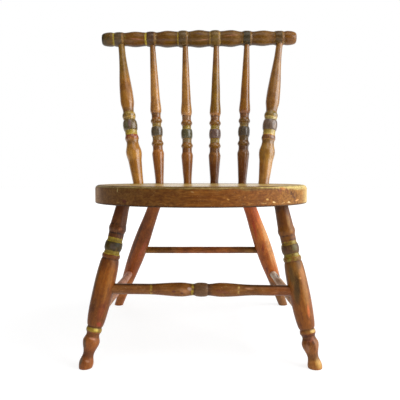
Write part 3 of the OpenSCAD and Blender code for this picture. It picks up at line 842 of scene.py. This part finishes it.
start, end = on_rear_leg(LEFT, rear_bar_h), on_rear_leg(RIGHT, rear_bar_h)
length = apart(start, end)
stations = [(core, rear_bar_d, STRAIGHT), (length - core, rear_bar_d, STRAIGHT)]
bar = turned("round_rear_stretcher", start, end, stations, 8, rows=120)
body = [(138, 90, 24), (50, 90, (156, 88, 34)), (-80, -30, (134, 90, 32))]
stands_for(bar, "rear_stretcher",
           turned_finish("rear_stretcher_gloss", 8, body, [], far_end=length, blotches=0.7))


# ---- Side stretchers -------------------------------------------------------------------
# A round bar with a faint swell on each side, from front leg to rear leg. Feet have rubbed
# the tops to a pale pinkish tan, and the right one nearly white at its rear end.

side_bar_h = 72.8
side_bar_end_d = 12.4
side_bar_d = 14.6
side_bar_plain = 21.0

for side, name, seed in ((LEFT, "left", 9), (RIGHT, "right", 10)):
    start, end = on_front_leg(side, side_bar_h), on_rear_leg(side, side_bar_h)
    length = apart(start, end)
    half = [(length / 2 - side_bar_plain, side_bar_end_d, STRAIGHT),
            (length / 2 - core, side_bar_end_d, STRAIGHT)]
    stations = both_ways(length, (0, side_bar_d, EASE), half)
    if side == LEFT:
        body = [(204, 158, 120), (60, 120, (206, 150, 122)), (-90, -30, (208, 150, 124))]
        marks = [(0, 70, 7, 3, 20, 0, (190, 150, 126)), (0, -50, 7, 3, 16, 0.1, (196, 146, 128))]
    else:
        body = [(196, 142, 98), (60, 120, (206, 168, 136)), (-90, -30, (228, 212, 188))]
        marks = [
            (0, -46, 7, 4, 26, 0.05, (246, 238, 226)), (14, -50, 7, 1.6, 20, 0.1, (48, 36, 30)),
            (0, 80, 7, 3, 20, 0, (200, 168, 142))]
    # The bar's front is its top, where feet have rested
    bar = turned("round_side_stretcher_" + name, start, end, stations, seed, back=(0, 0, -1),
                 rows=140)
    stands_for(bar, "side_stretcher_" + name,
               turned_finish("side_stretcher_gloss_" + name, seed, body, [], marks,
                             far_end=length, blotches=0.6, chips=0.8, gloss=0.0, dullness=0.5))


# ---- Crest rail ------------------------------------------------------------------------
# One turned bar on top of the back's sticks: six dark beads, barrels between them and a round
# knob at each end. Yellow bands beside the beads are bright at the left and worn off at the
# right. The back has racked a little to the left.

rail_h = 524.4
rail_back = 176.0
rail_l = 370.0
bead_pitch = 61.0
bead_half = 8.8
rail_rise = math.radians(0.5)
last_stick = 5
rail_mid_d = 32.6
rail_knob_d = 26.6
knob_in = 17.0
knob_less = 10.0
# By how much each bead, groove and barrel is thinner than the middle, from the end inwards
bead_less = [5.2, 4.0, 0.6]
groove_less = [8.2, 7.4, 4.8]
barrel_less = [3.9, 1.4]


def on_rail(x):
    """The point of the rail's axis at a distance to the right of its middle."""
    return np.array([x * math.cos(rail_rise) - back_rack, rail_back,
                     rail_h + x * math.sin(rail_rise)])


right_half = []
for k in (2, 1, 0):
    at = (last_stick / 2 - k) * bead_pitch
    right_half += [(at - bead_half, rail_mid_d - groove_less[k], RISE),
                   (at, rail_mid_d - bead_less[k], FALL),
                   (at + bead_half, rail_mid_d - groove_less[k], EASE)]
    if k:
        right_half.append((at + bead_pitch / 2, rail_mid_d - barrel_less[k - 1], EASE))
right_half += [(rail_l / 2 - knob_in, rail_knob_d, FALL),
               (rail_l / 2, rail_knob_d - knob_less, STRAIGHT)]
stations = both_ways(rail_l, (0, rail_mid_d, EASE), right_half)
beads = [rail_l / 2 + (i - last_stick / 2) * bead_pitch for i in range(last_stick + 1)]
body = [
    (90, 70, 22), (6, 14, (106, 78, 22)), (22, 40, (118, 76, 14)), (90, 150, (108, 74, 12)),
    (200, 260, (116, 78, 14)), (300, 320, (126, 84, 16)), (330, 345, (126, 80, 14))]
bead_tints = [(96, 76, 48), (92, 68, 48), (104, 82, 44), (120, 94, 38), (68, 60, 38), (98, 74, 32)]
bead_highlight_tan = (146, 112, 60)
bright_yellow = (230, 206, 66)
# Half width and paint of the bands beside each bead, and the shares left of them
worn_bands = [
    (1.6, bright_yellow, 0.84, 0.18), (1.7, bright_yellow, 0.84, 0.34), (1, yellow, 0.56, 0.30),
    (1.3, gold, 0.46, 0.42), (1.1, gold, 0.32, 0.16), (1.2, gold, 0.30, 0.30)]
bands = []
# On each bead's right flank a tan band is a painted highlight, and the dark bead paint stops short of
# it.
for at, (half_width, paint, left_share, right_share), shade in zip(beads, worn_bands, bead_tints):
    left_at, right_at = at - bead_half - 0.9, at + bead_half + 0.4
    bands += [(left_at - half_width, left_at + half_width, paint, left_share),
              (right_at - half_width, right_at + half_width, gold, right_share),
              (at + bead_half - 5.6, at + bead_half - 1.0, bead_highlight_tan, 0.50),
              (at - bead_half + 0.9, at + bead_half - 3.6, shade, 0.66)]
bands.append((beads[0] + 9, beads[0] + 14, olive, 0.30))
# The first two marks darken the top and bottom of the rail along its whole length: painted shade.
marks = [
    (-84, rail_l / 2, 15, 6, 182, 0, (66, 50, 18)), (84, rail_l / 2, 15, 6, 182, 0, (62, 46, 18)),
    (-10, 2, 8, 8, 3, 0, (44, 38, 16)), (0, 14, 12, 3, 3, 0.2, (58, 52, 24)),
    (-24, beads[2] + 30, 15, 1.2, 10, 0.15, (88, 52, 34)),
    (18, beads[2] + 38, 15, 1.2, 14, -0.1, (150, 104, 66)),
    (8, beads[0] + 34, 14, 1.2, 12, 0.1, (150, 96, 70)),
    (-12, beads[3] + 30, 14, 1.4, 12, -0.1, (152, 104, 70)),
    (16, beads[1] + 30, 15, 1.2, 14, 0.1, (98, 62, 38))]
start, end = on_rail(-rail_l / 2), on_rail(rail_l / 2)
rail = turned("turned_crest_rail", start, end, stations, 11, rows=460, columns=72)
stands_for(rail, "crest_rail",
           turned_finish("crest_rail_gloss", 11, body, bands, marks, blotches=0.4, dirt=0.4,
                         gloss=0.2, dullness=0.26))


# ---- Outer posts -----------------------------------------------------------------------
# The two stout sticks that hold the rail: a vase at the foot, a ring, a long dark bead
# between gold bands, and a club that tapers to the rail. Their round ends sit in sockets.

spindle_inset = 19.0
spindle_socket = 15.0
bore_slip = [2.6, 1.6, 3.6, 2.4, 0.0, 2.6]
back_angles = [math.radians(degrees) for degrees in (-49.1, -30.9, -9.7, 9.7, 30.9, 49.1)]
post_foot_d = 19.4
post_vase_d = 29.2
post_top_d = 12.8
rail_reach = rail_mid_d / 2 + 2
stick_gloss = {"dirt": 0.5, "gloss": 0.56, "dullness": 0.2, "ior": 1.45, "relief": 0.22}


def back_base(i):
    """Where a stick of the back, counted from the left, meets the top of the seat."""
    reach = seat_r - spindle_inset
    return on_seat(reach * math.sin(back_angles[i]), reach * math.cos(back_angles[i]), 0.0)


def back_top(i):
    """Where that stick meets the middle of the rail, a slip away from its bead's middle."""
    return on_rail((i - last_stick / 2) * bead_pitch + bore_slip[i])


for i, name, seed, bow in ((0, "left", 12, -2.0), (last_stick, "right", 13, -0.9)):
    base, top = back_base(i), back_top(i)
    length = apart(base, top)
    stations = [
        (-spindle_socket, post_foot_d, STRAIGHT), (collar, post_foot_d, STRAIGHT),
        (38, 24, EASE), (58.5, post_vase_d, EASE), (79, 22.2, EASE), (86, 25.8, EASE),
        (94.5, 22.8, STRAIGHT), (101, 22.8, RISE), (111, 27.2, FALL), (121, 21.8, EASE),
        (130.5, 25.2, EASE), (139, 20.4, EASE), (158, 25.6, EASE),
        (length - rail_reach, post_top_d, STRAIGHT), (length - core, post_top_d, STRAIGHT)]
    if i == 0:
        body = [
            (176, 118, 30), (30, 50, (190, 133, 46)), (80, 88, (146, 74, 40)), (92, 98, (168, 112, 38)),
            (136, 148, (158, 104, 28)), (190, 230, (134, 99, 32))]
        bands = [
            (91.5, 101.2, yellow, 0.72), (120.2, 126.6, gold, 0.66), (127, 136.4, (146, 118, 42), 0.66),
            (131, 134, gold, 0.40), (100.6, 120.6, (106, 88, 44), 0.84)]
        marks = [(-26, 111, 13, 3.6, 7, 0, (106, 104, 78)), (4, 111, 13, 3, 7, 0, (112, 92, 96))]
    else:
        body = [
            (176, 124, 52), (30, 50, (168, 122, 44)), (80, 88, (172, 102, 48)),
            (92, 98, (160, 108, 36)), (136, 148, (144, 98, 40)), (190, 230, (150, 104, 44))]
        bands = [
            (91, 101.2, (222, 194, 88), 0.70), (82.6, 89.6, (126, 80, 36), 0.60),
            (120.2, 126.2, (226, 204, 116), 0.66), (127, 136, (130, 106, 36), 0.62),
            (100.6, 120.6, (124, 106, 92), 0.84)]
        marks = [(34, 114, 13, 1.2, 3, 0.3, (60, 44, 52)), (26, -26, 6, 2.4, 6, 0.1, (150, 120, 96))]
    post = turned("turned_back_post_" + name, base, top, stations, seed, bow=bow)
    stands_for(post, "back_post_" + name,
               turned_finish("back_post_gloss_" + name, seed, body, bands, marks,
                             far_end=length, **stick_gloss))


# ---- Spindles --------------------------------------------------------------------------
# Four slim sticks of one pattern, fixed like the posts: a tapered foot with a shoulder, two
# rings about a dark bead, and a long club. Bands above and below each bead are worn by
# different amounts.

spindle_foot_d = 15.6
spindle_ring_d = 23.0
spindle_top_d = 10.6
middle_lift = 4.0


def spindle_stations(length, lift):
    """The pattern, moved up the stick by a lift."""
    shaped = [(52, 22.8, EASE), (61, 18.8, STRAIGHT), (65.5, 18.8, EASE),
              (71, spindle_ring_d, EASE), (78.5, 18, STRAIGHT), (84, 18, RISE),
              (94, spindle_ring_d - 0.6, FALL), (104, 17.2, STRAIGHT), (108, 17.2, EASE),
              (114.5, spindle_ring_d - 0.8, EASE), (122, 17.2, STRAIGHT), (126, 17.4, EASE),
              (134.5, 21.4, EASE), (162, 17.8, STRAIGHT)]
    return ([(-spindle_socket, spindle_foot_d, STRAIGHT), (collar, spindle_foot_d, STRAIGHT)]
            + [(s + lift, d, kind) for s, d, kind in shaped]
            + [(length - rail_reach, spindle_top_d, STRAIGHT),
               (length - core, spindle_top_d, STRAIGHT)])


# Foot, shoulder, neck and club colours, the bands above and below the bead with the share left
# of each, the bead, and the rings
spindle_paints = [
    ((152, 92, 26), (168, 104, 34), (176, 120, 52), (182, 128, 60),
     ((214, 180, 84), 0.60), ((206, 166, 84), 0.60), (100, 91, 71), (152, 106, 34)),
    ((146, 86, 8), (154, 94, 28), (186, 134, 78), (170, 118, 46),
     (yellow, 0.68), ((190, 158, 100), 0.60), (94, 92, 62), (154, 106, 34)),
    ((104, 54, 2), (136, 84, 20), (188, 132, 68), (138, 97, 10),
     (yellow, 0.72), ((204, 172, 76), 0.66), (124, 100, 92), (148, 102, 28)),
    ((114, 62, 4), (124, 78, 26), (158, 98, 40), (150, 96, 10),
     ((176, 146, 58), 0.52), ((134, 108, 52), 0.52), (84, 74, 58), (122, 86, 30))]
for i, paints in enumerate(spindle_paints, 1):
    foot_tint, shoulder_tint, neck_tint, club_tint, above, under, bead, ring = paints
    base, top = back_base(i), back_top(i)
    length = apart(base, top)
    lift = middle_lift if i in (1, 4) else 0.0
    body = [
        foot_tint, (30, 52, shoulder_tint), (118, 124, neck_tint), (130, 138, club_tint),
        (200, 240, (144, 98, 42))]
    # The first band, a dark line where the club rounds under, is a painted shadow.
    bands = [
        (126.5, 129, (118, 70, 30), 0.44), (110, 118, ring, 0.70), (66.6, 75.6, ring, 0.62),
        (102.6, 109.6, *above), (77, 85.4, *under), (84.8, 102.8, bead, 0.92)]
    spindle = turned("turned_spindle_%d" % i, base, top, spindle_stations(length, lift), 13 + i)
    stands_for(spindle, "spindle_%d" % i,
               turned_finish("spindle_gloss_%d" % i, 13 + i, body, bands, origin=lift,
                             **stick_gloss))


# ---- Studio ----------------------------------------------------------------------------
# A pale floor and a white surround, a tall soft light to the right and a narrow one beside
# it that give the long highlights, weak ones to the left, behind and above, and the camera a
# little above the seat. Lengths here are in metres.

floor_reach = 3.0
floor_mesh = bpy.data.meshes.new("floor")
floor_mesh.from_pydata(
    [(x * floor_reach, y * floor_reach, 0) for x, y in ((-1, -1), (1, -1), (1, 1), (-1, 1))],
    [], [(0, 1, 2, 3)])
placed("floor", floor_mesh)


def rays(tree):
    """Whether a ray comes from the camera, and whether it was mirrored or let through."""
    path = add(tree, "ShaderNodeLightPath").outputs
    mirrored = sums(tree, "MAXIMUM", path["Is Glossy Ray"], path["Is Transmission Ray"])
    return path["Is Camera Ray"], mirrored


floor_look, tree = material_tree("pale_floor")
from_camera, mirrored = rays(tree)
seen = sums(tree, "MAXIMUM", from_camera, mirrored)
seen_grey, lit_grey = 0.32, 0.86
matt = add(tree, "ShaderNodeBsdfDiffuse",
           {"Color": blend(tree, seen, (lit_grey,) * 3 + (1,), (seen_grey,) * 3 + (1,))})
# Its glow is a little weaker round the chair, so that the shadow shows there
off_middle = add(tree, "ShaderNodeVectorMath",
                 {0: add(tree, "ShaderNodeTexCoord").outputs["Object"]}, operation="LENGTH")
strength = ramp(tree, off_middle.outputs["Value"], 0.25, 0.85, 0.80, 1.0)
glow = add(tree, "ShaderNodeEmission", {"Strength": times(tree, seen, strength)})
both = add(tree, "ShaderNodeAddShader", {0: matt, 1: glow})
add(tree, "ShaderNodeOutputMaterial", {"Surface": both})
floor_mesh.materials.append(floor_look)

world = bpy.data.worlds.new("white_surround")
bpy.context.scene.world = world
world.use_nodes = True
tree = world.node_tree
tree.nodes.clear()
from_camera, mirrored = rays(tree)
# Gloss mirrors a dim room in front of the chair and a white one behind it
backwards = add(tree, "ShaderNodeSeparateXYZ",
                {0: add(tree, "ShaderNodeTexCoord").outputs["Generated"]}).outputs["Y"]
room_light, room_front = 0.24, 0.06
room = ramp(tree, backwards, 0.3, 0.9, room_front, 1.0)
strength = blend(tree, mirrored, (room_light,) * 3 + (1,), room)
strength = blend(tree, from_camera, strength, (1, 1, 1, 1))
surround = add(tree, "ShaderNodeBackground", {"Color": (1, 1, 1, 1), "Strength": strength})
add(tree, "ShaderNodeOutputWorld", {"Surface": surround})


def soft_light(name, place, width, height, power, mirrored=True):
    """A flat lamp at a place, facing the chair, and whether gloss mirrors it."""
    lamp = bpy.data.lights.new(name, "AREA")
    lamp.shape = "RECTANGLE"
    lamp.size, lamp.size_y, lamp.energy = width, height, power
    holder = placed(name, lamp)
    holder.visible_glossy = mirrored
    away = np.array(place) - chair_middle
    across = math.hypot(away[0], away[1])
    holder.location = place
    holder.rotation_euler = (math.atan2(across, away[2]), 0, math.atan2(away[0], -away[1]))


chair_middle = np.array([0.0, 0.0, 0.27])
soft_light("tall_light_right", (1.68, -0.86, 0.95), 1.25, 1.6, 34.0)
soft_light("edge_light_right", (1.75, 0.12, 0.8), 0.6, 1.5, 15.0)
soft_light("weak_light_left", (-1.3, -1.6, 0.8), 1.4, 1.4, 7.0, mirrored=False)
soft_light("back_light", (-0.9, 1.7, 1.1), 1.2, 1.2, 7.0, mirrored=False)
soft_light("high_light", (0.3, -0.6, 2.0), 1.2, 1.2, 8.0)

camera_dip = math.radians(5.86)
camera_data = bpy.data.cameras.new("camera")
camera_data.sensor_width = 36.0
camera_data.lens = 47.58
camera = placed("camera", camera_data)
camera.location = (0.0016, -0.8734, 0.321)
camera.rotation_euler = (math.radians(90) - camera_dip, 0, 0)
bpy.context.scene.camera = camera
bpy.context.scene.view_settings.view_transform = "Standard"
